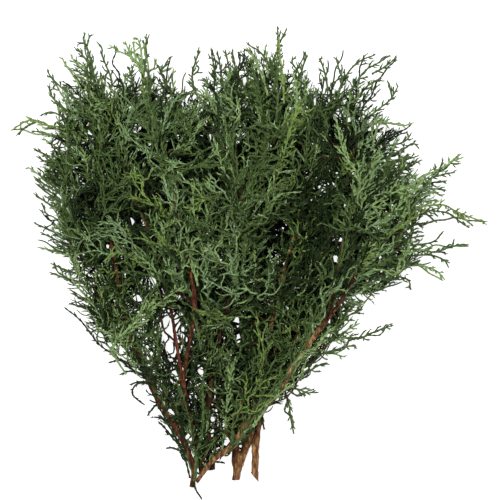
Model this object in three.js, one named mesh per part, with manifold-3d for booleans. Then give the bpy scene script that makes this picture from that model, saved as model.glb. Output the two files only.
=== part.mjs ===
// A bunch of freshly cut cypress branches lying flat, as stems, boughs and masses of scale-leaf foliage.
// Millimetres, +Z up. The cut ends point to -Y, the tips fan out to +Y, and the underside lies on Z = 0.
// Every stem and bough is one tapering limb. Every mass of foliage is one closed, uneven solid made of
// lobes, cut round the limbs that run through it and round the masses that lie on top of it.
import * as THREE from "three";
import { mergeVertices } from "three/addons/utils/BufferGeometryUtils.js";
import Module from "manifold-3d";

const wasm = await Module();
wasm.setup();

// ---- driving sizes -------------------------------------------------------------------------------
const LIMB_SIDES = 6; // faces round a stem
const LIMB_STEP = 54; // mm between the rings of a stem
const LOBE_SIDES = [5, 6]; // faces round a slim and a broad lobe of foliage
const BROAD = 18.5; // mm half width from which a lobe is broad
const LOBE_RINGS = [0, 0.22, 0.48, 0.74, 0.93]; // where a lobe's rings lie along it
const LOBE_SWELL = [0.54, 0.94, 1.0, 0.74, 0.34]; // how full the lobe is at each ring
const ROUGH = 0.16; // unevenness of the foliage surface, as a part of its radius
const BOW = 0.045; // sideways bow of a lobe, as a part of its length
const CLEAR = 0.55; // mm left between neighbouring solids
const PILE = { half: 400, deep: 120 }; // the slab under Z = 0 that trims the underside flat

const BARK_TAN = { color: 0x8a6238, roughness: 0.85, metalness: 0 };
const BARK_RED = { color: 0x6d3a20, roughness: 0.8, metalness: 0 };
const BARK_DARK = { color: 0x4c3322, roughness: 0.85, metalness: 0 };
const GREEN_MID = { color: 0x56643f, roughness: 0.7, metalness: 0 };
const GREEN_BLUE = { color: 0x5f7a5c, roughness: 0.7, metalness: 0 };
const GREEN_YELLOW = { color: 0x74843f, roughness: 0.7, metalness: 0 };
const GREEN_DEEP = { color: 0x38472b, roughness: 0.75, metalness: 0 };

// ---- stems and boughs: radius at the cut or fork, radius at the end, and the way they run --------
const LIMBS = [
  { name: "stem_left", bark: BARK_TAN, rCut: 2.6, rEnd: 1.3, via: [[-56, -227, 5], [-54, -210, 8], [-61, -188, 12], [-80, -155, 15], [-97, -122, 17], [-118, -70, 19], [-133, 4, 21], [-142, 68, 22]] },
  { name: "stem_mid_left", bark: BARK_RED, rCut: 2.4, rEnd: 2.0, via: [[-46, -214, 6], [-51, -186, 10], [-60, -148, 16], [-64, -117, 22]] },
  { name: "bough_mid_left_back", bark: BARK_RED, rCut: 1.7, rEnd: 1.2, via: [[-66, -115.6, 21], [-72, -75, 24], [-78, -40, 26], [-94, 14, 30], [-115, 73, 31]] },
  { name: "bough_mid_left_front", bark: BARK_RED, rCut: 1.7, rEnd: 1.2, via: [[-62.4, -115.5, 24.1], [-56, -75, 36], [-52, -44, 45], [-61, 14, 56], [-79, 96, 64]] },
  { name: "stem_crossing", bark: BARK_TAN, rCut: 2.6, rEnd: 2.0, via: [[-51, -221, 15], [-35, -200, 19], [-14, -183, 26], [2, -158, 32], [28, -132, 38], [49, -98, 42], [79, -56, 47]] },
  { name: "bough_right_front", bark: BARK_RED, rCut: 1.4, rEnd: 1.2, via: [[78.5, -54.1, 48.6], [85, -20, 54], [94, 24, 60], [107, 62, 60]] },
  { name: "bough_right_outer", bark: BARK_RED, rCut: 1.5, rEnd: 1.2, via: [[81, -55.8, 46.2], [97, -30, 47], [117, 12, 47], [149, 53, 45]] },
  { name: "stem_dark", bark: BARK_DARK, rCut: 3.5, rEnd: 1.5, via: [[-36, -210, 4.2], [-40, -180, 8], [-38, -135, 14], [-30, -85, 22], [-15, -25, 36], [-8, 14, 52], [-7, 62, 70]] },
  { name: "stem_forked", bark: BARK_TAN, rCut: 4.1, rEnd: 4.3, via: [[-12, -220, 4.4], [-10.5, -203, 6]] },
  { name: "bough_fork_left", bark: BARK_TAN, rCut: 2.6, rEnd: 1.3, via: [[-13, -201.6, 6], [-11, -170, 9], [-3, -125, 13], [6, -65, 17], [11, 4, 19], [20, 78, 21]] },
  { name: "bough_fork_right", bark: BARK_TAN, rCut: 3.0, rEnd: 1.3, via: [[-6.7, -201.6, 6.5], [0, -180, 9], [11, -135, 15], [19, -90, 25], [28, -40, 36], [51, 43, 46]] },
  { name: "stem_right", bark: BARK_TAN, rCut: 3.9, rEnd: 1.5, via: [[7, -218, 4.3], [8, -185, 6], [15, -140, 10], [29, -83, 15], [54, -31, 18], [81, 24, 20], [101, 88, 19]] },
];

// ---- masses of foliage, from the top of the pile down: lobes as [root, tip, half width, half depth]
const MASSES = [
  { name: "foliage_right_low", tint: GREEN_MID, lobes: [
    [[4, -146, 33], [51, -77, 38], 14, 13],
    [[41, -109, 34], [145, -66, 12], 7, 6],
    [[22, -131, 32], [67, -129, 8], 8, 6],
    [[35, -129, 30], [45, -171, 3], 6, 6],
    [[51, -94, 38], [99, -58, 28], 13, 11],
    [[38, -108, 34], [68, -38, 40], 14, 12],
    [[-16, -167, 24], [24, -111, 28], 12, 11],
  ] },
  { name: "foliage_right_outer", tint: GREEN_BLUE, lobes: [
    [[90, -40, 44], [153, 43, 48], 24, 20],
    [[137, 21, 48], [189, 73, 34], 24, 16],
    [[120, 22, 46], [154, 92, 32], 20, 15],
    [[167, 66, 34], [210, 104, 18], 7, 6],
    [[141, 24, 44], [236, 38, 8], 11, 9],
    [[105, -22, 38], [182, -2, 13], 14, 12],
    [[150, 8, 34], [220, 14, 4], 5, 5],
    [[95, -30, 34], [154, -24, 6], 9, 8],
    [[146, -3, 24], [195, -21, 4], 6, 6],
  ] },
  { name: "foliage_right_front", tint: GREEN_BLUE, lobes: [
    [[80, -51, 52], [101, 53, 66], 20, 17],
    [[94, 9, 64], [124, 96, 56], 20, 16],
    [[99, 43, 62], [141, 92, 46], 16, 14],
  ] },
  { name: "foliage_centre_front", tint: GREEN_BLUE, lobes: [
    [[-20, -50, 44], [-10, 52, 76], 26, 20],
    [[-10, 33, 76], [-25, 142, 72], 32, 22],
    [[-8, 23, 74], [46, 65, 74], 20, 15],
    [[-8, 43, 78], [31, 134, 70], 24, 19],
    [[-25, -30, 48], [-45, 70, 66], 22, 17],
    [[-25, 120, 70], [-34, 206, 34], 13, 12],
    [[-14, 100, 70], [-9, 204, 36], 16, 13],
  ] },
  { name: "foliage_mid_left_front", tint: GREEN_MID, lobes: [
    [[-52, -58, 44], [-73, 53, 66], 24, 19],
    [[-57, -40, 44], [-113, 14, 42], 22, 15],
    [[-68, 38, 64], [-95, 143, 60], 24, 20],
    [[-90, 121, 58], [-101, 218, 30], 13, 12],
    [[-85, 122, 56], [-78, 200, 34], 11, 12],
    [[-77, 86, 64], [-50, 143, 58], 16, 14],
    [[-68, 112, 58], [-60, 184, 36], 14, 12],
  ] },
  { name: "foliage_right_inner", tint: GREEN_YELLOW, lobes: [
    [[20, -65, 32], [51, 33, 48], 24, 18],
    [[47, 9, 46], [68, 116, 48], 27, 20],
    [[68, 102, 46], [79, 197, 26], 14, 13],
    [[76, 120, 36], [94, 208, 16], 11, 10],
    [[55, 87, 46], [55, 181, 32], 15, 13],
  ] },
  { name: "foliage_mid_left_back", tint: GREEN_YELLOW, lobes: [
    [[-79, -78, 26], [-114, 83, 30], 24, 18],
    [[-113, 58, 30], [-118, 190, 24], 19, 18],
    [[-120, 107, 30], [-134, 212, 18], 10, 10],
  ] },
  { name: "foliage_centre_low", tint: GREEN_DEEP, lobes: [
    [[-32, -192, 12], [-31, -85, 20], 14, 12],
    [[-28, -145, 14], [-16, -70, 22], 14, 14],
    [[-33, -110, 20], [-45, -40, 28], 16, 15],
    [[-44, -202, 11], [-42, -120, 16], 7, 8],
  ] },
  { name: "foliage_centre_foot", tint: GREEN_DEEP, lobes: [
    [[-6, -178, 12], [6, -75, 17], 16, 14],
    [[10, -165, 12], [24, -80, 17], 14, 14],
  ] },
  { name: "foliage_centre_back", tint: GREEN_MID, lobes: [
    [[2, -85, 16], [14, 39, 19], 30, 20],
    [[14, 14, 19], [26, 142, 24], 34, 24],
    [[26, 112, 26], [31, 227, 24], 15, 13],
    [[16, 132, 26], [0, 210, 22], 18, 15],
    [[33, 151, 28], [55, 205, 22], 9, 8],
    [[-8, 58, 22], [-42, 168, 24], 20, 17],
  ] },
  { name: "foliage_left_top", tint: GREEN_MID, lobes: [
    [[-144, 78, 22], [-162, 220, 15], 25, 19],
    [[-148, 103, 20], [-196, 183, 12], 18, 15],
    [[-144, 107, 24], [-139, 186, 18], 13, 15],
    [[-158, 116, 18], [-236, 129, 5], 9, 7],
    [[-176, 120, 12], [-222, 141, 6], 8, 6],
    [[-154, 93, 20], [-213, 108, 9], 16, 13],
  ] },
  { name: "foliage_left_high", tint: GREEN_MID, lobes: [
    [[-128, -11, 20], [-198, 44, 12], 25, 18],
    [[-132, 14, 21], [-210, 88, 14], 27, 20],
    [[-136, 27, 22], [-157, 109, 22], 23, 21],
    [[-134, -16, 17], [-210, 19, 7], 14, 10],
  ] },
  { name: "foliage_left_mid", tint: GREEN_YELLOW, lobes: [
    [[-92, -122, 17], [-166, -32, 12], 16, 15],
    [[-97, -118, 19], [-140, -23, 19], 23, 19],
    [[-88, -112, 21], [-106, -22, 26], 17, 17],
    [[-122, -60, 16], [-195, -7, 8], 16, 12],
  ] },
  { name: "foliage_left_low", tint: GREEN_DEEP, lobes: [
    [[-58, -202, 9], [-97, -115, 16], 12, 11],
    [[-57, -188, 10], [-64, -78, 18], 12, 11],
    [[-72, -160, 12], [-84, -92, 20], 11, 10],
  ] },
  { name: "foliage_right_back", tint: GREEN_DEEP, lobes: [
    [[44, -55, 18], [86, 39, 20], 25, 20],
    [[83, 19, 20], [106, 129, 18], 31, 20],
    [[105, 113, 17], [115, 199, 11], 18, 12],
    [[111, 143, 14], [147, 201, 6], 10, 8],
    [[113, 103, 16], [163, 135, 7], 10, 9],
    [[101, 58, 18], [170, 104, 12], 20, 15],
  ] },
];

// ---- solids --------------------------------------------------------------------------------------
// A repeatable number from 0 to 1 for the unevenness.
function chance(a, b, c) {
  const s = Math.sin(a * 127.1 + b * 311.7 + c * 74.7) * 43758.5453;
  return s - Math.floor(s);
}

// A closed body from rings of equal point count, with a flat fan or a point at each end.
function ringBody(rings, startAt, endAt) {
  const positions = [];
  const faces = [];
  const sides = rings[0].length;
  for (const ring of rings) for (const p of ring) positions.push(p.x, p.y, p.z);
  const first = positions.length / 3;
  positions.push(startAt.x, startAt.y, startAt.z, endAt.x, endAt.y, endAt.z);
  for (let i = 0; i + 1 < rings.length; i++) {
    for (let j = 0; j < sides; j++) {
      const a = i * sides + j;
      const b = i * sides + ((j + 1) % sides);
      faces.push(a, b + sides, b, a, a + sides, b + sides);
    }
  }
  const last = (rings.length - 1) * sides;
  for (let j = 0; j < sides; j++) {
    const k = (j + 1) % sides;
    faces.push(first, j, k, first + 1, last + k, last + j);
  }
  const geometry = new THREE.BufferGeometry();
  geometry.setAttribute("position", new THREE.Float32BufferAttribute(positions, 3));
  geometry.setIndex(faces);
  return mergeVertices(geometry);
}

// One ring across the way a limb or lobe runs, kept level.
function ringAt(centre, along, halfWidth, halfDepth, sides, uneven) {
  const side = new THREE.Vector3().crossVectors(along, new THREE.Vector3(0, 0, 1)).normalize();
  const up = new THREE.Vector3().crossVectors(side, along).normalize();
  const ring = [];
  for (let j = 0; j < sides; j++) {
    const turn = (j / sides) * Math.PI * 2;
    const k = uneven(j);
    ring.push(
      centre
        .clone()
        .addScaledVector(side, Math.cos(turn) * (halfWidth * k.scale + k.grow))
        .addScaledVector(up, Math.sin(turn) * (halfDepth * k.scale + k.grow)),
    );
  }
  return ring;
}

function limbGeometry(limb, grow) {
  const curve = new THREE.CatmullRomCurve3(limb.via.map((p) => new THREE.Vector3(...p)), false, "centripetal");
  const steps = Math.max(1, Math.round(curve.getLength() / LIMB_STEP));
  const rings = [];
  for (let i = 0; i <= steps; i++) {
    const t = i / steps;
    const centre = curve.getPointAt(t);
    const along = curve.getTangentAt(t);
    if (i === 0) centre.addScaledVector(along, -grow);
    if (i === steps) centre.addScaledVector(along, grow);
    const r = THREE.MathUtils.lerp(limb.rCut, limb.rEnd, t);
    rings.push(ringAt(centre, along, r, r, LIMB_SIDES, () => ({ scale: 1, grow })));
  }
  const middle = (ring) => ring.reduce((sum, p) => sum.add(p), new THREE.Vector3()).divideScalar(ring.length);
  return ringBody(rings, middle(rings[0]), middle(rings[steps]));
}

function lobeGeometry([root, tip, halfWidth, halfDepth], key, grow) {
  const a = new THREE.Vector3(...root);
  const b = new THREE.Vector3(...tip);
  const along = b.clone().sub(a).normalize();
  const side = new THREE.Vector3().crossVectors(along, new THREE.Vector3(0, 0, 1)).normalize();
  const length = a.distanceTo(b);
  const sides = LOBE_SIDES[halfWidth < BROAD ? 0 : 1];
  const bow = (chance(key, 3, 9) - 0.5) * 2 * BOW * length;
  const rings = LOBE_RINGS.map((t, i) => {
    const centre = a.clone().lerp(b, t).addScaledVector(side, Math.sin(Math.PI * t) * bow);
    if (i === 0) centre.addScaledVector(along, -grow);
    const uneven = (j) => ({ scale: LOBE_SWELL[i] * (1 + ROUGH * (chance(key, i, j) * 2 - 1)), grow });
    return ringAt(centre, along, halfWidth, halfDepth, sides, uneven);
  });
  const middle = rings[0].reduce((sum, p) => sum.add(p), new THREE.Vector3()).divideScalar(sides);
  return ringBody(rings, middle, b.clone().addScaledVector(along, grow * 2));
}

// ---- cutting and joining -------------------------------------------------------------------------
function toSolid(geometry) {
  return new wasm.Manifold(
    new wasm.Mesh({
      numProp: 3,
      vertProperties: new Float32Array(geometry.attributes.position.array),
      triVerts: new Uint32Array(geometry.index.array),
    }),
  );
}

// The largest single body of a cut solid, as a geometry.
function largestBody(solid) {
  const { vertProperties, triVerts } = solid.getMesh();
  const owner = Array.from({ length: vertProperties.length / 3 }, (_, i) => i);
  const find = (i) => {
    while (owner[i] !== i) i = owner[i] = owner[owner[i]];
    return i;
  };
  for (let i = 0; i < triVerts.length; i += 3) {
    owner[find(triVerts[i])] = find(triVerts[i + 1]);
    owner[find(triVerts[i + 1])] = find(triVerts[i + 2]);
  }
  const corner = (i) => new THREE.Vector3().fromArray(vertProperties, i * 3);
  const volume = new Map();
  for (let i = 0; i < triVerts.length; i += 3) {
    const [p, q, r] = [corner(triVerts[i]), corner(triVerts[i + 1]), corner(triVerts[i + 2])];
    const home = find(triVerts[i]);
    volume.set(home, (volume.get(home) ?? 0) + p.dot(q.cross(r)) / 6);
  }
  const keep = [...volume.entries()].sort((m, n) => n[1] - m[1])[0][0];
  const faces = [];
  for (let i = 0; i < triVerts.length; i += 3) {
    if (find(triVerts[i]) === keep) faces.push(triVerts[i], triVerts[i + 1], triVerts[i + 2]);
  }
  const geometry = new THREE.BufferGeometry();
  geometry.setAttribute("position", new THREE.BufferAttribute(new Float32Array(faces.length * 3), 3));
  faces.forEach((v, i) => corner(v).toArray(geometry.attributes.position.array, i * 3));
  return mergeVertices(geometry, 1e-5);
}

function addMesh(group, name, geometry, finish) {
  const mesh = new THREE.Mesh(geometry, new THREE.MeshStandardMaterial({ ...finish, flatShading: true }));
  mesh.name = name;
  group.add(mesh);
}

const bunch = new THREE.Group();
const slab = new THREE.BoxGeometry(PILE.half * 2, PILE.half * 2, PILE.deep).translate(0, 0, -PILE.deep / 2);
slab.deleteAttribute("normal");
slab.deleteAttribute("uv");
const below = toSolid(mergeVertices(slab));

let taken = null; // everything placed so far, grown by the clearance
for (const limb of LIMBS) {
  addMesh(bunch, limb.name, limbGeometry(limb, 0), limb.bark);
  const grown = toSolid(limbGeometry(limb, CLEAR));
  taken = taken ? taken.add(grown) : grown;
}
MASSES.forEach((mass, m) => {
  let whole = null;
  let grown = null;
  mass.lobes.forEach((lobe, n) => {
    const key = m * 17 + n * 5 + 1;
    const solid = toSolid(lobeGeometry(lobe, key, 0));
    const wide = toSolid(lobeGeometry(lobe, key, CLEAR));
    whole = whole ? whole.add(solid) : solid;
    grown = grown ? grown.add(wide) : wide;
  });
  addMesh(bunch, mass.name, largestBody(whole.subtract(taken).subtract(below)), mass.tint);
  taken = taken.add(grown);
});

export default bunch;
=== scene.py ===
import math

import bpy
import numpy as np
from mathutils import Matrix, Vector


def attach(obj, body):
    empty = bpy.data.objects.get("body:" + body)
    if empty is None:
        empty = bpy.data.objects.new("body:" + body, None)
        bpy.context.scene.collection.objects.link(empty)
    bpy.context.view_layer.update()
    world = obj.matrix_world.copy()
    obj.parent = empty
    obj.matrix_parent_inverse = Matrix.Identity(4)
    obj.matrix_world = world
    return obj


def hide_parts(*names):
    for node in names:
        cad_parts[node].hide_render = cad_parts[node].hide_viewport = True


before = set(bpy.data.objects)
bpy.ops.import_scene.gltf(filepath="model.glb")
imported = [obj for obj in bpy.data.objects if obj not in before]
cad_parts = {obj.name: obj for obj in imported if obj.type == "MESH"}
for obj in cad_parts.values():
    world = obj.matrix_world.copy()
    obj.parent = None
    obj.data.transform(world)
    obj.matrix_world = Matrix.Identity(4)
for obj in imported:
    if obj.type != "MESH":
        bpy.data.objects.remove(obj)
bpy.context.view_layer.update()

MM = 0.001
scene = bpy.context.scene

# =================================================================================================
# Where things lie. Plan positions are millimetres on a 500 mm board under the camera, x to the right
# and y towards the cut ends, with the height above the table as z.
# =================================================================================================
EYE = 2083.0  # height of the camera over the table, mm
SHIFT = (2.0, 9.0)  # from the middle of the board to the row's origin, mm


def place(points):
    """Plan positions (x, y, height) to the row frame, in mm."""
    a = np.asarray(points, float)
    s = 1 - a[..., 2] / EYE
    return np.stack([(a[..., 0] - 250) * s + SHIFT[0], (250 - a[..., 1]) * s + SHIFT[1], a[..., 2]], -1)


def plan(points):
    """The row frame, in mm, back to plan positions."""
    s = 1 - points[..., 2] / EYE
    return np.stack([(points[..., 0] - SHIFT[0]) / s + 250, 250 - (points[..., 1] - SHIFT[1]) / s], -1)


# stems and boughs, as in the CAD source: radius at the cut or fork, radius at the end, and the way they run
LIMBS = {
    "stem_left": ("bark_tan", 2.6, 1.3, [[-56, -227, 5], [-54, -210, 8], [-61, -188, 12], [-80, -155, 15], [-97, -122, 17], [-118, -70, 19], [-133, 4, 21], [-142, 68, 22]]),
    "stem_mid_left": ("bark_red", 2.4, 2.0, [[-46, -214, 6], [-51, -186, 10], [-60, -148, 16], [-64, -117, 22]]),
    "bough_mid_left_back": ("bark_red", 1.7, 1.2, [[-66, -115.6, 21], [-72, -75, 24], [-78, -40, 26], [-94, 14, 30], [-115, 73, 31]]),
    "bough_mid_left_front": ("bark_red", 1.7, 1.2, [[-62.4, -115.5, 24.1], [-56, -75, 36], [-52, -44, 45], [-61, 14, 56], [-79, 96, 64]]),
    "stem_crossing": ("bark_tan", 2.6, 2.0, [[-51, -221, 15], [-35, -200, 19], [-14, -183, 26], [2, -158, 32], [28, -132, 38], [49, -98, 42], [79, -56, 47]]),
    "bough_right_front": ("bark_red", 1.4, 1.2, [[78.5, -54.1, 48.6], [85, -20, 54], [94, 24, 60], [107, 62, 60]]),
    "bough_right_outer": ("bark_red", 1.5, 1.2, [[81, -55.8, 46.2], [97, -30, 47], [117, 12, 47], [149, 53, 45]]),
    "stem_dark": ("bark_dark", 3.5, 1.5, [[-36, -210, 4.2], [-40, -180, 8], [-38, -135, 14], [-30, -85, 22], [-15, -25, 36], [-8, 14, 52], [-7, 62, 70]]),
    "stem_forked": ("bark_tan", 4.1, 4.3, [[-12, -220, 4.4], [-10.5, -203, 6]]),
    "bough_fork_left": ("bark_tan", 2.6, 1.3, [[-13, -201.6, 6], [-11, -170, 9], [-3, -125, 13], [6, -65, 17], [11, 4, 19], [20, 78, 21]]),
    "bough_fork_right": ("bark_tan", 3.0, 1.3, [[-6.7, -201.6, 6.5], [0, -180, 9], [11, -135, 15], [19, -90, 25], [28, -40, 36], [51, 43, 46]]),
    "stem_right": ("bark_tan", 3.9, 1.5, [[7, -218, 4.3], [8, -185, 6], [15, -140, 10], [29, -83, 15], [54, -31, 18], [81, 24, 20], [101, 88, 19]]),
}
# where a bough grows out of another limb, its foot is carried back into it
GROWS_FROM = {
    "bough_mid_left_back": "stem_mid_left",
    "bough_mid_left_front": "stem_mid_left",
    "bough_right_front": "stem_crossing",
    "bough_right_outer": "stem_crossing",
    "bough_fork_left": "stem_forked",
    "bough_fork_right": "stem_forked",
}

# masses of foliage: lobes as root, tip, half width, half depth (mm, row frame), with the mass's leaf
# colours (weights over COLOURS) and how it grows: "tuft" is short and dense, "thread" is long and open
# the back, inner and low masses weigh the deep green more heavily: partly the darker older foliage inside the bunch,
# partly painted shade under the front masses
MASSES = {
    "foliage_right_low": ("thread", (2, 5, 1, 1, 1), [
        [[4, -146, 33], [51, -77, 38], 14, 13], [[41, -109, 34], [145, -66, 12], 7, 6], [[22, -131, 32], [67, -129, 8], 8, 6],
        [[35, -129, 30], [45, -171, 3], 6, 6], [[51, -94, 38], [99, -58, 28], 13, 11], [[38, -108, 34], [68, -38, 40], 14, 12], [[-16, -167, 24], [24, -111, 28], 12, 11]]),
    "foliage_right_outer": ("tuft", (0.6, 5.5, 3.4, 2.6, 0.5), [
        [[90, -40, 44], [153, 43, 48], 24, 20], [[137, 21, 48], [189, 73, 34], 24, 16], [[120, 22, 46], [154, 92, 32], 20, 15], [[167, 66, 34], [210, 104, 18], 7, 6],
        [[141, 24, 44], [236, 38, 8], 11, 9], [[105, -22, 38], [182, -2, 13], 14, 12], [[150, 8, 34], [220, 14, 4], 5, 5],
        [[95, -30, 34], [154, -24, 6], 9, 8], [[146, -3, 24], [195, -21, 4], 6, 6]]),
    "foliage_right_front": ("tuft", (1, 4, 3, 4, 0.5), [
        [[80, -51, 52], [101, 53, 66], 20, 17], [[94, 9, 64], [124, 96, 56], 20, 16], [[99, 43, 62], [141, 92, 46], 16, 14]]),
    "foliage_centre_front": ("tuft", (1, 6, 2.4, 2.2, 0.8), [
        [[-20, -50, 44], [-10, 52, 76], 26, 20], [[-10, 33, 76], [-25, 142, 72], 32, 22], [[-8, 23, 74], [46, 65, 74], 20, 15],
        [[-8, 43, 78], [31, 134, 70], 24, 19], [[-25, -30, 48], [-45, 70, 66], 22, 17], [[-25, 120, 70], [-34, 206, 34], 13, 12], [[-14, 100, 70], [-9, 204, 36], 16, 13]]),
    "foliage_mid_left_front": ("tuft", (1, 6, 2.4, 2, 1.2), [
        [[-52, -58, 44], [-73, 53, 66], 24, 19], [[-57, -40, 44], [-113, 14, 42], 22, 15], [[-68, 38, 64], [-95, 143, 60], 24, 20],
        [[-90, 121, 58], [-101, 218, 30], 13, 12], [[-85, 122, 56], [-78, 200, 34], 11, 12], [[-77, 86, 64], [-50, 143, 58], 16, 14], [[-68, 112, 58], [-60, 184, 36], 14, 12]]),
    "foliage_right_inner": ("tuft", (6, 5, 0.8, 0, 0.4), [
        [[20, -65, 32], [51, 33, 48], 24, 18], [[47, 9, 46], [68, 116, 48], 27, 20], [[68, 102, 46], [79, 197, 26], 14, 13], [[76, 120, 36], [94, 208, 16], 11, 10],
        [[55, 87, 46], [55, 181, 32], 15, 13]]),
    "foliage_mid_left_back": ("thread", (3, 5, 1, 1, 1), [
        [[-79, -78, 26], [-114, 83, 30], 24, 18], [[-113, 58, 30], [-118, 190, 24], 19, 18], [[-120, 107, 30], [-134, 212, 18], 10, 10]]),
    "foliage_centre_low": ("thread", (5, 3.6, 1.6, 0.3, 0.2), [
        [[-32, -192, 12], [-31, -85, 20], 14, 12], [[-28, -145, 14], [-16, -70, 22], 14, 14], [[-33, -110, 20], [-45, -40, 28], 16, 15],
        [[-44, -202, 11], [-42, -120, 16], 7, 8]]),
    "foliage_centre_foot": ("thread", (5, 3.6, 1.6, 0.3, 0.2), [
        [[-6, -178, 12], [6, -75, 17], 16, 14], [[10, -165, 12], [24, -80, 17], 14, 14]]),
    "foliage_centre_back": ("tuft", (4, 5, 1, 0, 1), [
        [[2, -85, 16], [14, 39, 19], 30, 20], [[14, 14, 19], [26, 142, 24], 34, 24], [[26, 112, 26], [31, 227, 24], 15, 13],
        [[16, 132, 26], [0, 210, 22], 18, 15], [[33, 151, 28], [55, 205, 22], 9, 8], [[-8, 58, 22], [-42, 168, 24], 20, 17]]),
    "foliage_left_top": ("tuft", (2.8, 5, 2.2, 1.6, 0.5), [
        [[-144, 78, 22], [-162, 220, 15], 25, 19], [[-148, 103, 20], [-196, 183, 12], 18, 15], [[-144, 107, 24], [-139, 186, 18], 13, 15],
        [[-158, 116, 18], [-236, 129, 5], 9, 7], [[-176, 120, 12], [-222, 141, 6], 8, 6], [[-154, 93, 20], [-213, 108, 9], 16, 13]]),
    "foliage_left_high": ("tuft", (4.4, 5, 1.2, 1, 0.2), [
        [[-128, -11, 20], [-198, 44, 12], 25, 18], [[-132, 14, 21], [-210, 88, 14], 27, 20], [[-136, 27, 22], [-157, 109, 22], 23, 21],
        [[-134, -16, 17], [-210, 19, 7], 14, 10]]),
    "foliage_left_mid": ("thread", (4, 5, 1.4, 0.3, 0.6), [
        [[-92, -122, 17], [-166, -32, 12], 16, 15], [[-97, -118, 19], [-140, -23, 19], 23, 19], [[-88, -112, 21], [-106, -22, 26], 17, 17],
        [[-122, -60, 16], [-195, -7, 8], 16, 12]]),
    "foliage_left_low": ("thread", (4, 5, 0.6, 0, 0.8), [
        [[-58, -202, 9], [-97, -115, 16], 12, 11], [[-57, -188, 10], [-64, -78, 18], 12, 11], [[-72, -160, 12], [-84, -92, 20], 11, 10]]),
    "foliage_right_back": ("tuft", (4, 5, 1, 0, 1), [
        [[44, -55, 18], [86, 39, 20], 25, 20], [[83, 19, 20], [106, 129, 18], 31, 20], [[105, 113, 17], [115, 199, 11], 18, 12],
        [[111, 143, 14], [147, 201, 6], 10, 8], [[113, 103, 16], [163, 135, 7], 10, 9], [[101, 58, 18], [170, 104, 12], 20, 15]]),
}

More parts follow.
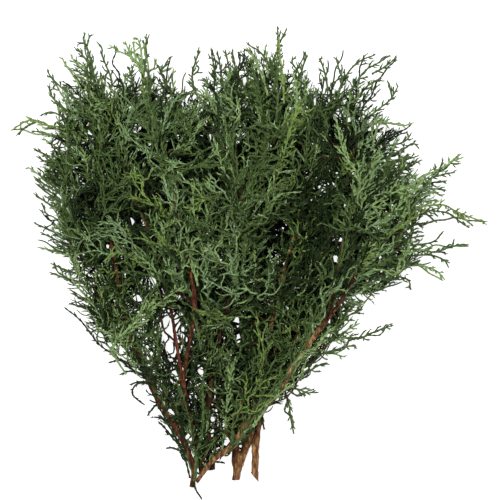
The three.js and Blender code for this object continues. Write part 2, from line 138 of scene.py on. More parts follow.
# sprays that stand out of the bunch on their own: height at foot and tip, colour, side-shoot length,
# and the way they run on the board
SPRAYS = [
    # top left
    (24, 20, 1, 7, [(94, 90), (93, 70), (88.7, 52), (85.4, 44), (83, 38.6), (85.8, 33)]),
    (22, 20, 1, 5, [(87, 46), (89, 38), (91.6, 34.3)]),
    (22, 20, 1, 5, [(86, 45), (82, 43), (78.2, 44.4)]),
    (22, 20, 1, 7, [(92, 66), (83, 55.8), (79, 50), (76.7, 47.7)]),
    (22, 18, 1, 7, [(90, 74), (82, 65), (70.5, 57.7)]),
    (20, 18, 1, 6, [(91, 78), (83, 75), (77, 71), (70.5, 70.7)]),
    (26, 24, 1, 6, [(111, 92), (111.7, 80.7), (106, 65.4), (102, 54.9), (102, 48), (96.4, 41.5)]),
    (24, 20, 1, 6, [(88, 100), (75, 78), (64, 62), (62, 57)]),
    (22, 18, 1, 7, [(86, 110), (66, 92), (52, 78), (47, 71)]),
    (20, 16, 1, 7, [(84, 118), (62, 108), (50, 92), (50, 83)]),
    (18, 10, 1, 6, [(88, 132), (70, 122), (52, 112), (41, 115)]),
    (18, 8, 4, 8, [(92, 140), (65, 128), (45, 125), (30, 120), (18, 126), (11, 131)]),
    (10, 8, 1, 5, [(36, 122), (26, 127), (16, 136)]),
    (14, 8, 1, 6, [(88, 150), (60, 140), (46, 133), (31, 131)]),
    (30, 26, 2, 7, [(143, 90), (142.3, 76), (141.3, 67.3), (134.6, 59.7), (127, 54.9), (116.5, 50), (108.8, 44.4)]),
    (30, 28, 2, 6, [(133, 62), (129, 51), (124.6, 40.5)]),
    (34, 30, 4, 7, [(143, 76), (142, 62), (141.3, 54), (140, 44.4), (136.6, 38), (132, 38.1)]),
    (32, 30, 2, 7, [(141, 72), (136, 60), (134.6, 52), (132.7, 41.5)]),
    (34, 30, 1, 7, [(143.5, 78), (145.2, 62.5), (146.6, 53.9), (146, 44.4), (149.5, 33.8)]),
    (32, 30, 1, 5, [(146, 50), (144.5, 45), (143.3, 39.6)]),
    (28, 24, 1, 7, [(133, 90), (131.5, 78), (130, 71), (128.4, 66.4)]),
    (28, 24, 1, 5, [(131, 76), (132, 70), (133.7, 65)]),
    (28, 24, 1, 5, [(131, 82), (126, 79), (123.2, 73)]),
    (26, 22, 1, 6, [(132, 94), (125, 87), (118.4, 80.2)]),
    (26, 22, 1, 6, [(130, 98), (122, 89), (111.7, 85.5)]),
    (34, 30, 1, 7, [(171, 92), (163.3, 77.8), (161.4, 72), (164.3, 66.4), (169, 57.8)]),
    (32, 30, 1, 5, [(163, 72), (167, 69), (171, 68.3)]),
    (32, 30, 1, 5, [(161, 74), (159.5, 69), (157.6, 64)]),
    (32, 28, 1, 5, [(174, 90), (172, 76), (173.9, 68.3)]),
    # top, left to right
    (34, 30, 1, 6, [(198, 98), (193, 83.6), (192.5, 72), (194.9, 63.5), (197.8, 54.9), (199.2, 46.3)]),
    (34, 30, 1, 5, [(193.5, 75), (198.5, 70), (198.8, 66)]),
    (32, 28, 1, 5, [(196, 89), (191, 83), (188.2, 79.8)]),
    (34, 30, 1, 6, [(212, 92), (207.4, 83.6), (201.2, 79.3)]),
    (32, 26, 1, 7, [(216, 86), (214, 68), (212, 56), (211, 47)]),
    (32, 26, 1, 6, [(222, 84), (220, 66), (217, 50)]),
    (32, 26, 1, 7, [(232, 88), (229, 68), (225, 49)]),
    (32, 26, 1, 6, [(236, 84), (235, 66), (232, 50)]),
    (34, 28, 4, 7, [(278, 88), (270, 66), (260, 52), (247, 44)]),
    (34, 28, 1, 7, [(275, 92), (276, 66), (279, 45), (277, 26.5)]),
    (34, 28, 1, 5, [(278, 46), (282, 38), (287, 29)]),
    (32, 28, 1, 6, [(268, 80), (267, 60), (265, 46)]),
    (32, 26, 1, 7, [(301, 92), (299, 74), (292, 62), (293, 56)]),
    (60, 42, 2, 10, [(276, 122), (278, 98), (277, 76), (280, 54)]),
    (58, 38, 4, 8, [(284, 104), (283, 80), (280, 56), (279, 36)]),
    (60, 42, 2, 9, [(262, 116), (259, 92), (254, 72), (250, 58)]),
    (60, 42, 2, 9, [(296, 112), (297, 92), (293, 72)]),
    (58, 40, 1, 7, [(268, 96), (262, 76), (255, 60), (246, 47)]),
    (66, 74, 1, 9, [(198, 286), (193, 266), (188, 246), (186, 226)]),
    (58, 64, 1, 8, [(201, 350), (198, 332), (193, 314)]),
    (68, 74, 2, 9, [(182, 272), (187, 254), (196, 238)]),
    (32, 26, 1, 6, [(300, 80), (303, 66), (306, 58), (305, 51)]),
    (30, 26, 1, 7, [(328, 90), (325, 74), (320, 58)]),
    (30, 22, 1, 7, [(338, 96), (342, 78), (338, 66), (336, 56)]),
    (24, 16, 1, 7, [(336, 96), (350, 70), (362, 60), (375, 55)]),
    (20, 12, 1, 7, [(350, 92), (366, 70), (380, 62), (390, 55)]),
    (18, 12, 1, 6, [(372, 74), (386, 66), (397, 57)]),
    (20, 14, 1, 7, [(355, 100), (370, 84), (382, 78)]),
    (20, 14, 1, 7, [(365, 120), (380, 108), (390, 100), (395, 92), (398, 86)]),
    (18, 14, 1, 5, [(392, 98), (390, 88), (387, 80)]),
    # right
    (20, 14, 1, 6, [(362, 128), (378, 122), (393, 123.8), (404, 125.7), (414, 122.5)]),
    (22, 16, 1, 7, [(385, 146), (398, 144), (406.6, 140), (411.8, 132.4)]),
    (22, 16, 1, 7, [(388, 156), (404.6, 148.7), (411, 144), (419, 145)]),
    (24, 18, 1, 6, [(388, 164), (402, 158), (410.4, 156.4)]),
    (24, 18, 1, 6, [(396, 172), (408, 166), (412.8, 161)]),
    (40, 24, 4, 7, [(404, 194), (421.9, 176), (435.3, 171.7), (444.8, 166.9), (453.4, 159.2), (462, 153.5)]),
    (26, 24, 4, 4, [(452, 161), (458, 159), (462, 158.3)]),
    (26, 22, 1, 4, [(450, 163), (456, 164), (461, 163.5)]),
    (34, 26, 1, 5, [(432, 178), (435, 171), (434.8, 163)]),
    (34, 26, 1, 5, [(436, 176), (440, 167.8), (443.4, 159.2)]),
    (32, 22, 1, 5, [(428, 179), (442.9, 174.5), (455.4, 172.2)]),
    (32, 22, 1, 6, [(420, 184), (435.3, 182.2), (447.2, 180.8)]),
    (30, 20, 1, 6, [(420, 192), (434, 189), (446.7, 190.3)]),
    (30, 20, 1, 6, [(418, 196), (432, 192), (442.9, 196.6)]),
    (30, 20, 2, 6, [(405, 204), (425.7, 201.3), (437.7, 200.4)]),
    (44, 14, 4, 7, [(380, 216), (399.9, 210), (416, 207), (432.4, 205.2), (444.8, 205.2), (453.4, 210), (464, 214.7), (480, 220.5), (488, 222)]),
    (34, 14, 4, 6, [(418, 210), (435, 211), (449.6, 213.8), (462, 223.3), (469.7, 228)]),
    (26, 12, 4, 4, [(453, 210.5), (464, 218.6), (473.5, 226.2)]),
    (30, 18, 1, 5, [(414, 208), (425.7, 213.8), (437.2, 222.9)]),
    (30, 16, 1, 4, [(392, 238), (406.6, 233.9), (421.9, 231.5)]),
    (30, 16, 1, 4, [(392, 243), (408.5, 238.7), (424.3, 235.3)]),
    (28, 14, 1, 4, [(392, 247), (408, 243), (421.9, 240)]),
    (28, 12, 1, 6, [(397, 250), (416, 249.2), (435, 252), (449.6, 247.3), (458, 245.4), (468.8, 244.4)]),
    (18, 12, 1, 1, [(451, 247.5), (453, 243), (454.4, 238.7)]),
    (26, 14, 1, 5, [(404, 246), (427.6, 243.4), (435.3, 240.6), (443.4, 231)]),
    (18, 10, 1, 4, [(434, 252), (441, 252), (447.7, 254)]),
    (22, 8, 1, 6, [(408, 256), (430, 255), (440, 258), (445, 261), (449, 268.3)]),
    (20, 6, 1, 6, [(404, 262), (424, 266), (438, 272), (445, 280)]),
    (22, 6, 1, 6, [(384, 268), (398, 276), (408, 280), (410, 286), (405, 288)]),
    # lower right
    (30, 16, 1, 9, [(318, 341), (340, 338), (362, 337), (376, 331), (394, 325)]),
    (30, 14, 1, 9, [(333, 328), (348, 316), (363, 309)]),
    (28, 14, 1, 9, [(326, 346), (344, 332), (360, 323)]),
    (26, 12, 1, 7, [(314, 356), (335, 350), (350, 346), (357, 347)]),
    (26, 12, 1, 5, [(320, 350), (335, 354), (344, 357)]),
    (24, 10, 1, 8, [(300, 378), (314, 368), (322, 364), (328, 363)]),
    (24, 8, 1, 8, [(282, 388), (297, 389), (309, 393), (316, 390)]),
    (24, 4, 1, 6, [(284, 388), (289, 405), (291, 420), (294, 434)]),
    (20, 6, 1, 4, [(258, 402), (262, 415), (264, 430)]),
    # left side, from the far-left spray down
    (16, 8, 1, 6, [(80, 165), (60, 150), (43, 138)]),
    (16, 8, 1, 6, [(78, 172), (54, 160), (33, 148)]),
    (16, 8, 1, 5, [(74, 182), (52, 166), (36, 156)]),
    (16, 8, 2, 6, [(78, 196), (50, 182), (28, 167)]),
    (14, 8, 1, 5, [(70, 198), (50, 188), (33, 176)]),
    (14, 8, 1, 5, [(72, 206), (52, 196), (35, 183)]),
    (14, 8, 1, 5, [(74, 218), (52, 206), (33, 193)]),
    (12, 6, 1, 5, [(76, 226), (62, 214), (50, 205)]),
    (12, 6, 1, 5, [(80, 240), (60, 228), (46, 217)]),
    (12, 6, 1, 4, [(74, 244), (54, 232), (34, 223)]),
    (12, 6, 1, 4, [(76, 252), (58, 241), (40, 232)]),
    (12, 6, 1, 4, [(78, 260), (58, 252), (37, 247)]),
    (10, 6, 1, 4, [(84, 276), (66, 270), (50, 263)]),
    (10, 6, 1, 4, [(90, 284), (68, 279), (49, 272)]),
    (10, 6, 1, 4, [(98, 304), (84, 300), (72, 293)]),
    (8, 6, 1, 3, [(104, 318), (84, 308), (69, 303)]),
    (8, 4, 0, 3, [(150, 380), (130, 368), (117, 357), (100, 345), (80, 320), (64, 307)]),
    (10, 4, 0, 2, [(134, 366), (120, 360), (108, 363)]),
    (10, 4, 0, 2, [(140, 374), (130, 371), (119, 375)]),
    (10, 4, 0, 2, [(150, 382), (138, 382), (129, 385)]),
    (10, 4, 0, 2, [(156, 384), (137, 384), (132, 393), (138, 400), (145, 405)]),
    (10, 4, 0, 2, [(160, 402), (152, 409), (147, 416)]),
    (10, 4, 0, 2, [(168, 424), (161, 418), (153, 417)]),
    (10, 4, 0, 2, [(174, 440), (170, 434), (158, 421)]),
    (10, 3, 0, 2, [(182, 452), (174, 448), (166, 448)]),
    # about the cut ends: a leafy shoot, a bare twig and one that hangs past the cuts
    (12, 30, 1, 4, [(195, 481), (196, 465), (198, 450), (203, 432), (203, 400), (203, 380), (212, 350)], 1.9),
    (8, 24, 0, 9, [(190, 478), (183, 452), (168, 424), (150, 388), (134, 352)]),
    (9, 26, 1, 8, [(193, 474), (180, 438), (163, 404), (146, 368), (136, 336)]),
    (9, 28, 0, 10, [(192, 470), (186, 444), (176, 412), (160, 374), (150, 340)]),
    (14, 30, 1, 8, [(198, 468), (193, 440), (187, 410), (180, 386)]),
    (10, 26, 0, 9, [(201, 470), (199, 440), (196, 408), (192, 380), (193, 350)]),
    (16, 34, 1, 10, [(222, 452), (226, 420), (228, 390), (236, 356)]),
    (20, 36, 1, 10, [(238, 440), (246, 410), (252, 380), (254, 350)]),
    (20, 38, 1, 9, [(244, 436), (256, 408), (268, 384), (276, 356)]),
    (10, 3, 0, 1, [(194, 479), (195.5, 489), (202, 499)]),
    (14, 8, 0, 0, [(213, 462), (219, 462), (225, 463)]),
    # shoots that lie on top
    (34, 44, 1, 9, [(236, 446), (246, 428), (252, 412), (262, 398), (266, 384)]),
    (36, 46, 1, 9, [(244, 432), (258, 420), (268, 404), (282, 392), (292, 384)]),
    (38, 46, 1, 8, [(250, 424), (262, 404), (274, 396), (282, 380), (280, 366)]),
    (40, 44, 1, 8, [(262, 408), (270, 392), (284, 378), (296, 368), (304, 356)]),
    (42, 48, 1, 9, [(286, 372), (298, 356), (306, 342), (318, 330), (320, 316)]),
    (44, 48, 2, 8, [(292, 366), (306, 352), (318, 346), (326, 334), (336, 326)]),
    (44, 46, 1, 8, [(300, 350), (310, 336), (312, 322), (322, 312), (324, 300)]),
    (30, 34, 1, 7, [(228, 452), (234, 440), (232, 428), (238, 416), (236, 404)]),
    (24, 60, 2, 16, [(126, 374), (116, 358), (114, 345), (125, 332), (143, 316), (163, 300), (184, 286)]),
    (60, 64, 4, 9, [(247, 188), (249, 215), (252, 240), (255, 262)]),
    (44, 40, 4, 7, [(104, 262), (112, 254), (121, 252), (130, 256)]),
    (58, 72, 4, 12, [(187, 262), (183, 250), (177, 205), (173, 190), (166, 165), (160, 135), (155, 120), (150, 108), (143, 90)]),
    (62, 70, 2, 12, [(352, 214), (360, 180), (345, 155), (335, 115)]),
    (74, 88, 4, 12, [(268, 196), (282, 160), (290, 130), (300, 100)]),
    (46, 60, 2, 14, [(343, 292), (368, 246), (392, 214), (424, 180)]),
    (46, 52, 4, 10, [(347, 286), (372, 252), (404, 224), (430, 208)]),
    (58, 66, 2, 14, [(346, 246), (358, 222), (380, 200), (414, 184)]),
]

# places where the table shows between the sprays: plan position and half width
GAPS = [
    (129, 165, 3), (132, 222, 3), (143, 222, 3), (138, 127, 4), (88, 135, 3.5), (83, 182, 3), (212, 139, 2.5), (108, 246, 2.5),
    (308, 160, 2), (345, 205, 2), (340, 240, 3), (335, 259, 3), (237, 322, 4), (238, 338, 4), (140, 300, 4), (153, 280, 4),
    (162, 292, 4), (165, 325, 4), (168, 340, 6), (172, 352, 5), (175, 375, 4.5), (195, 395, 3), (212, 405, 2.5), (212, 420, 2.5),
    (210, 437, 3), (295, 333, 3), (292, 370, 3), (184, 330, 2.5), (200, 372, 3), (188, 436, 3), (226, 442, 4), (250, 452, 4),
]

# where the pile is thin and the table shows through in specks: plan position, half width and the share of low sprays left out
THIN = [(165, 325, 44, 0.6), (165, 375, 36, 0.6), (186, 420, 38, 0.5), (80, 290, 36, 0.5), (150, 292, 28, 0.5), (200, 350, 26, 0.3)]

# where the bark shows: no leaves lie over these stretches of the limbs (shares of their length)
BARE = {
    "stem_crossing": [(0.0, 0.19), (0.23, 0.33), (0.57, 0.66), (0.87, 1.0)],
    "stem_forked": [(0.0, 1.0)],
    "stem_right": [(0.0, 0.15)],
    "bough_fork_left": [(0.0, 0.04)],
    "bough_fork_right": [(0.0, 0.08)],
    "stem_mid_left": [(0.66, 1.0)],
    "bough_mid_left_back": [(0.0, 0.34)],
    "bough_mid_left_front": [(0.0, 0.2), (0.34, 0.44)],
    "stem_dark": [(0.0, 0.04), (0.24, 0.28)],
    "bough_right_outer": [(0.0, 0.12)],
    "bough_right_front": [(0.0, 0.14)],
}

# how far the close foliage reaches on the board: single sprays stand out past it
CROWN = np.array([
    (68, 77), (84, 64), (97, 68), (108, 86), (122, 85), (132, 70), (148, 63), (163, 80), (180, 88), (196, 93), (207, 84), (215, 67), (235, 58),
    (250, 57), (264, 59), (277, 60), (287, 67), (299, 70), (312, 76), (325, 88), (338, 91), (352, 79), (363, 73), (369, 87), (370, 104),
    (387, 115), (397, 130), (402, 146), (406, 162), (428, 176), (432, 190), (430, 204), (418, 218), (414, 232), (412, 246),
    (412, 260), (394, 276), (368, 297), (352, 313), (340, 330), (318, 354), (304, 372), (294, 386), (276, 396), (262, 408),
    (256, 430), (242, 449), (220, 463), (197, 474), (192, 460), (181, 434), (161, 402), (150, 385), (118, 354), (89, 328),
    (78, 305), (70, 280), (61, 257), (52, 236), (53, 215), (45, 190), (42, 165), (47, 150), (52, 130), (60, 112), (58, 90), (63, 80),
], float)

# =================================================================================================
# Growth. Curves are held in batches as arrays of shape (curves, points, 3), in mm.
# =================================================================================================
rng = np.random.default_rng(271)
UP = np.array([0.0, 0.0, 1.0])
CEILING = 94.0  # mm, from which shoots bend over
ceiling = CEILING


def unit(v):
    return v / np.maximum(np.linalg.norm(v, axis=-1, keepdims=True), 1e-9)


def smooth_line(points, count):
    """A centripetal Catmull-Rom curve through the points, at even distances."""
    p = np.asarray(points, float)
    p = np.vstack([2 * p[0] - p[1], p, 2 * p[-1] - p[-2]])
    out = []
    for i in range(1, len(p) - 2):
        t = [0.0]
        for k in range(3):
            t.append(t[-1] + max(np.linalg.norm(p[i + k] - p[i + k - 1]), 1e-6) ** 0.5)
        s = np.linspace(t[1], t[2], 24, endpoint=False)[:, None]
        a1 = (t[1] - s) / (t[1] - t[0]) * p[i - 1] + (s - t[0]) / (t[1] - t[0]) * p[i]
        a2 = (t[2] - s) / (t[2] - t[1]) * p[i] + (s - t[1]) / (t[2] - t[1]) * p[i + 1]
        a3 = (t[3] - s) / (t[3] - t[2]) * p[i + 1] + (s - t[2]) / (t[3] - t[2]) * p[i + 2]
        b1 = (t[2] - s) / (t[2] - t[0]) * a1 + (s - t[0]) / (t[2] - t[0]) * a2
        b2 = (t[3] - s) / (t[3] - t[1]) * a2 + (s - t[1]) / (t[3] - t[1]) * a3
        out.append((t[2] - s) / (t[2] - t[1]) * b1 + (s - t[1]) / (t[2] - t[1]) * b2)
    out.append(p[-2][None])
    return even(np.vstack(out), count)


def even(line, count):
    d = np.concatenate([[0], np.cumsum(np.linalg.norm(np.diff(line, axis=0), axis=1))])
    s = np.linspace(0, d[-1], count)
    return np.stack([np.interp(s, d, line[:, k]) for k in range(3)], -1)


def wander(line, size, pace):
    """The same line with slow bends to either side and up and down, none at its foot."""
    along = unit(np.gradient(line, axis=0))
    side = unit(np.cross(along, UP + 0.01))
    over = np.cross(side, along)
    d = np.concatenate([[0], np.cumsum(np.linalg.norm(np.diff(line, axis=0), axis=1))])
    grown = np.clip(d / 18, 0, 1)[:, None] * size
    a, b, c, e = rng.random(4) * 6.28
    return line + grown * (
        side * (0.75 * np.sin(d * 6.28 / pace + a) + 0.45 * np.sin(d * 6.28 / (pace * 0.47) + b))[:, None]
        + over * (0.55 * np.sin(d * 6.28 / (pace * 0.9) + c) + 0.35 * np.sin(d * 6.28 / (pace * 0.41) + e))[:, None]
    )


def length_of(curves):
    return np.linalg.norm(np.diff(curves, axis=1), axis=2).sum(1)


def side_shoots(parents, normals, gap, start, end, angle, roll, reach, points, bend=0.85, wave=0.09):
    """Side shoots off every parent curve, left and right in turn. Each leaves at a wide angle and curves on forward.
    reach(parent index, how far along) gives each one's length. Returns curves, parent index, how far along, normals."""
    total = length_of(parents)
    n = np.maximum(((end - start) * total / gap + rng.random(len(parents)) * 0.9).astype(int), 0)
    idx = np.repeat(np.arange(len(parents)), n)
    if len(idx) == 0:
        return np.zeros((0, points, 3)), idx, np.zeros(0), np.zeros((0, 3))
    j = np.concatenate([np.arange(k) for k in n])
    t = start + (j + 0.1 + 0.8 * rng.random(len(idx))) * gap / total[idx]
    t = np.clip(t, 0, 0.999)
    u = t * (parents.shape[1] - 1)
    i = u.astype(int)
    f = (u - i)[:, None]
    a, b = parents[idx, i], parents[idx, i + 1]
    foot = a * (1 - f) + b * f
    along = unit(b - a)
    normal = unit(normals[idx] + rng.normal(0, 0.3, (len(idx), 3)))
    side = unit(np.cross(along, normal))
    over = np.cross(side, along)
    which = np.where((j + idx) % 2 == 0, 1.0, -1.0) * np.where(rng.random(len(idx)) < 0.12, -1, 1)
    turn = rng.normal(0, roll, len(idx))
    out = which[:, None] * side * np.cos(turn)[:, None] + over * np.sin(turn)[:, None]
    lean = np.radians(angle) * (1 + rng.normal(0, 0.22, len(idx)))
    first = np.cos(lean)[:, None] * along + np.sin(lean)[:, None] * out
    size = reach(idx, t)
    s = np.linspace(0, 1, points)[None, :, None]
    on = along - (along * first).sum(1, keepdims=True) * first
    phase = rng.random((len(idx), 1, 1)) * 6.28
    pace = 3.5 + 4 * rng.random((len(idx), 1, 1))
    sway = unit(np.cross(first, over + 0.01))
    curl = bend * rng.uniform(0.1, 1.5, (len(idx), 1, 1))
    curve = foot[:, None] + size[:, None, None] * (
        first[:, None] * s + curl * on[:, None] * s * s
        + wave * rng.uniform(0.3, 1.6, (len(idx), 1, 1)) * (sway[:, None] * np.sin(pace * s + phase) + over[:, None] * np.cos(pace * s + phase)) * s
    )
    return curve, idx, t, normal


def settle(curves, radius=0.9):
    """Nothing goes through the table: what would is laid on it. Nothing stands up far out of the pile either."""
    z = curves[..., 2]
    low = z < 4
    z = np.where(low, 4 * np.exp((np.minimum(z, 4) - 4) / 4), z)
    z = np.where(z > ceiling, ceiling + 7 * (1 - np.exp((ceiling - np.maximum(z, ceiling)) / 7)), z)
    curves[..., 2] = np.maximum(z, radius)
    return curves


def open_gaps(curves, keep_chance=0.0):
    """True for the curves that stay clear of the gaps."""
    p = plan(curves)
    toward = unit(np.array([(g[0] - 232, g[1] - 500) for g in GAPS], float))
    clear = np.ones(len(curves), bool)
    for g, d in zip(GAPS, toward):
        v = p - np.array(g[:2])
        along = v @ d
        across = v @ np.array([-d[1], d[0]])
        hit = ((along / (g[2] * 1.2)) ** 2 + (across / (g[2] * 0.6)) ** 2 < 1).any(1)
        clear &= ~hit | (rng.random(len(curves)) < keep_chance)
    near = ((p[:, :, None] - BARE_PLAN[None, None]) ** 2).sum(-1) < BARE_REACH**2
    over = near & (curves[:, :, None, 2] > BARE_POINTS[None, None, :, 2] - 1)
    return clear & ~(over.any((1, 2)) & (rng.random(len(curves)) > 0.1))


def outside(points):
    """How far plan positions lie outside the crown's outline: negative inside."""
    a, b = CROWN, np.roll(CROWN, -1, axis=0)
    e = b - a
    v = points[:, None] - a[None]
    t = np.clip((v * e).sum(-1) / (e * e).sum(-1), 0, 1)
    dist = np.linalg.norm(v - t[..., None] * e, axis=-1).min(1)
    y0, y1 = a[:, 1], b[:, 1]
    crosses = ((y0 > points[:, 1:2]) != (y1 > points[:, 1:2])) & (
        points[:, 0:1] < (b[:, 0] - a[:, 0]) * (points[:, 1:2] - y0) / np.where(y1 == y0, 1e-9, y1 - y0) + a[:, 0]
    )
    inside = crosses.sum(1) % 2 == 1
    return np.where(inside, -dist, dist)


def in_crown(curves, margin):
    return outside(plan(curves[:, -1])) < margin


# leaf colours: deep is a dark green, partly the older inner foliage's own colour and partly painted shade; shade is a
# near-black green, painted shade for the lowest sprays
COLOURS = ["deep", "mid", "light", "blue", "yellow", "shade"]
batches = []  # (curves, radius at foot, radius at tip, colour index array, sides)


def add(curves, r0, r1, colour, sides=3, step=2.7):
    """Keeps curves for the leaf meshes, with no more points on each than its length needs."""
    if not len(curves):
        return
    colour = np.asarray(colour)
    settle(curves, max(r0, r1) * 1.15)
    want = np.clip(np.round(length_of(curves) / step).astype(int) + 1, 2, 40)
    k = curves.shape[1]
    for count in np.unique(want):
        sel = want == count
        u = np.linspace(0, k - 1, count)
        i = np.minimum(u.astype(int), k - 2)
        f = (u - i)[None, :, None]
        c = curves[sel]
        batches.append((c[:, i] * (1 - f) + c[:, i + 1] * f, r0, r1, colour[sel], sides))


limb_lines = {}
for name, (bark, r0, r1, via) in LIMBS.items():
    total = np.linalg.norm(np.diff(np.array(via), axis=0), axis=1).sum()
    limb_lines[name] = smooth_line(via, max(4, int(total / 1.6)))
ALL_LIMB_POINTS = np.vstack(list(limb_lines.values()))
ALL_LIMB_TANGENTS = np.vstack([unit(np.gradient(l, axis=0)) for l in limb_lines.values()])

BARE_REACH = 2.6
bare = []
for name, spans in BARE.items():
    for a, b in spans:
        l = limb_lines[name]
        bare.append(l[int(a * (len(l) - 1)) : int(b * (len(l) - 1)) + 1 : 2])
BARE_POINTS = np.vstack(bare)
BARE_PLAN = plan(BARE_POINTS)

twigs = []  # woody feet of boughs: (points, r0, r1)
bough_feet = []  # where boughs leave the limbs, for the swellings in the bark


def bough_from_limb(root, tip, back):
    """The way from a limb to a lobe: it leaves the limb further back, runs on with it, and curves into the lobe."""
    axis = unit(tip - root)
    want = root - axis * back
    score = np.linalg.norm(ALL_LIMB_POINTS - want, axis=1) + 4.0 * np.maximum(0, (ALL_LIMB_POINTS - root) @ axis)
    k = int(score.argmin())
    foot = ALL_LIMB_POINTS[k]
    gone = np.linalg.norm(root - foot)
    if gone < 3:
        return [foot, tip], foot
    return [foot, foot + (ALL_LIMB_TANGENTS[k] * 0.5 + unit(root - foot) * 0.5) * gone * 0.4, root, tip], foot


SWELL_AT = [0.0, 0.22, 0.48, 0.74, 0.93, 1.0]
SWELL = [0.6, 0.96, 1.0, 0.8, 0.5, 0.3]
# how each kind branches: distances between side shoots (mm), the angles they leave at, and the longest
KINDS = {
    "tuft": dict(gap2=6.4, gap3=4.9, gap4=4.0, lean2=56, lean3=56, long1=(34, 58), wide2=24, most3=12, bend=0.95, wave=0.13, drift=1.5, pace=34, fine=0.9),
    "thread": dict(gap2=7.4, gap3=7.6, gap4=0, lean2=50, lean3=50, long1=(44, 76), wide2=36, most3=22, bend=1.0, wave=0.2, drift=3.4, pace=30, fine=0.86),
}


def grow(line, normal, kind, colour, chance, wide, start, margin, thick=1.0, step=2.5, tips=True):
    """Side shoots on side shoots along one bough."""
    d = KINDS[kind]
    full = length_of(line[None])[0]

    def reach2(idx, t):
        at = np.clip((t - start) / max(1e-3, 1 - start), 0, 1)
        return wide * np.interp(at, [0, 0.3, 0.7, 1], [0.7, 1.0, 0.72, 0.3]) * rng.uniform(0.5, 1.3, len(t))

    c2, i2, t2, n2 = side_shoots(line[None], normal, d["gap2"], start, 0.97, d["lean2"], 0.8, reach2, 14, d["bend"], d["wave"])
    tone2 = np.where(rng.random(len(c2)) < 0.72, colour, rng.choice(len(chance), size=len(c2), p=chance))
    ok = open_gaps(c2, 0.1) & in_crown(c2, margin)
    c2, n2, tone2 = c2[ok], n2[ok], tone2[ok]
    if not len(c2):
        return
    fine = thick * d["fine"]
    add(c2, 1.02 * fine, 0.72 * fine, tone2, 3, step)
    l2 = length_of(c2)
    c3, i3, t3, n3 = side_shoots(
        c2, n2, d["gap3"], 0.16, 0.96, d["lean3"], 0.6,
        lambda idx, t: np.clip(l2[idx] * 0.5, 4, d["most3"]) * (1.08 - t) ** 0.5 * rng.uniform(0.5, 1.2, len(t)), 8, d["bend"], d["wave"])
    ok = open_gaps(c3) & in_crown(c3, margin)
    tone3 = np.where(rng.random(len(c3)) < 0.8, tone2[i3], rng.choice(len(chance), size=len(c3), p=chance))
    c3, n3, tone3 = c3[ok], n3[ok], tone3[ok]
    add(c3, 0.96 * fine, 0.68 * fine, tone3, 3, step)
    if d["gap4"] and tips and len(c3):
        l3 = length_of(c3)
        c4, i4, t4, n4 = side_shoots(
            c3, n3, d["gap4"], 0.25, 0.92, 48, 0.6, lambda idx, t: np.clip(l3[idx] * 0.45, 2.0, 4.6) * rng.uniform(0.7, 1.2, len(t)), 3, 0.4, 0.0)
        ok = open_gaps(c4) & in_crown(c4, margin)
        add(c4[ok], 0.92 * fine, 0.62 * fine, tone3[i4][ok], 3, 4.0)


# one bough runs the length of each lobe, to its tip
LOBES = []
host_points, host_tangents = [ALL_LIMB_POINTS], [ALL_LIMB_TANGENTS]
for mass, (kind, weights, lobes) in MASSES.items():
    chance = np.array(tuple(weights) + (0,), float) / sum(weights)
    for root, tip, w, h in lobes:
        root, tip = np.array(root, float), np.array(tip, float)
        LOBES.append((mass, kind, chance, root, tip, w, h))
        axis = unit(tip - root)
        side = unit(np.cross(axis, UP))
        size = np.linalg.norm(tip - root)
        via, foot = bough_from_limb(root, tip, rng.uniform(4, 22))
        mid = (via[-2] + via[-1]) / 2 + side * rng.normal(0, 0.05) * size + UP * rng.normal(0, 0.03) * size
        line = wander(smooth_line(via[:-1] + [mid, via[-1]], 30), KINDS[kind]["drift"], KINDS[kind]["pace"] * 1.4)
        bough_feet.append(foot)
        full = length_of(line[None])[0]
        inside = max(0.1, 1 - size / full)
        host_points.append(line[4:24])
        host_tangents.append(unit(np.gradient(line, axis=0))[4:24])
        colour = int(rng.choice(6, p=chance))
        cut = max(2, int(30 * (0.3 if kind == "tuft" else 0.4)))
        twigs.append((line[: cut + 1].copy(), 1.2, 0.95))
        add(line[None, cut:].copy(), 1.15, 0.8, [colour], 4)
        normal = unit(UP + rng.normal(0, 0.35, 3))[None]
        grow(line, normal, kind, colour, chance, min(w * 1.5, 34), inside, 12.0)
HOSTS = np.vstack(host_points)
HOST_TANGENTS = np.vstack(host_tangents)


def column(p):
    """What the lobes fill over a place in the row frame: (low, high, lobe number), and the nearest lobe."""
    found, near = [], (1e9, 0)
    for n, (mass, kind, chance, root, tip, w, h) in enumerate(LOBES):
        axis = tip[:2] - root[:2]
        t = min(max(((p - root[:2]) @ axis) / (axis @ axis), 0), 1)
        swell = np.interp(t, SWELL_AT, SWELL)
        d = np.linalg.norm(p - root[:2] - axis * t) / (w * swell * 1.1 + 3)
        near = min(near, (d, n))
        if d < 1:
            z = root[2] + (tip[2] - root[2]) * t
            half = h * swell * math.sqrt(1 - d * d)
            found.append((max(2.0, z - half), z + half, n))
    return found, near[1]


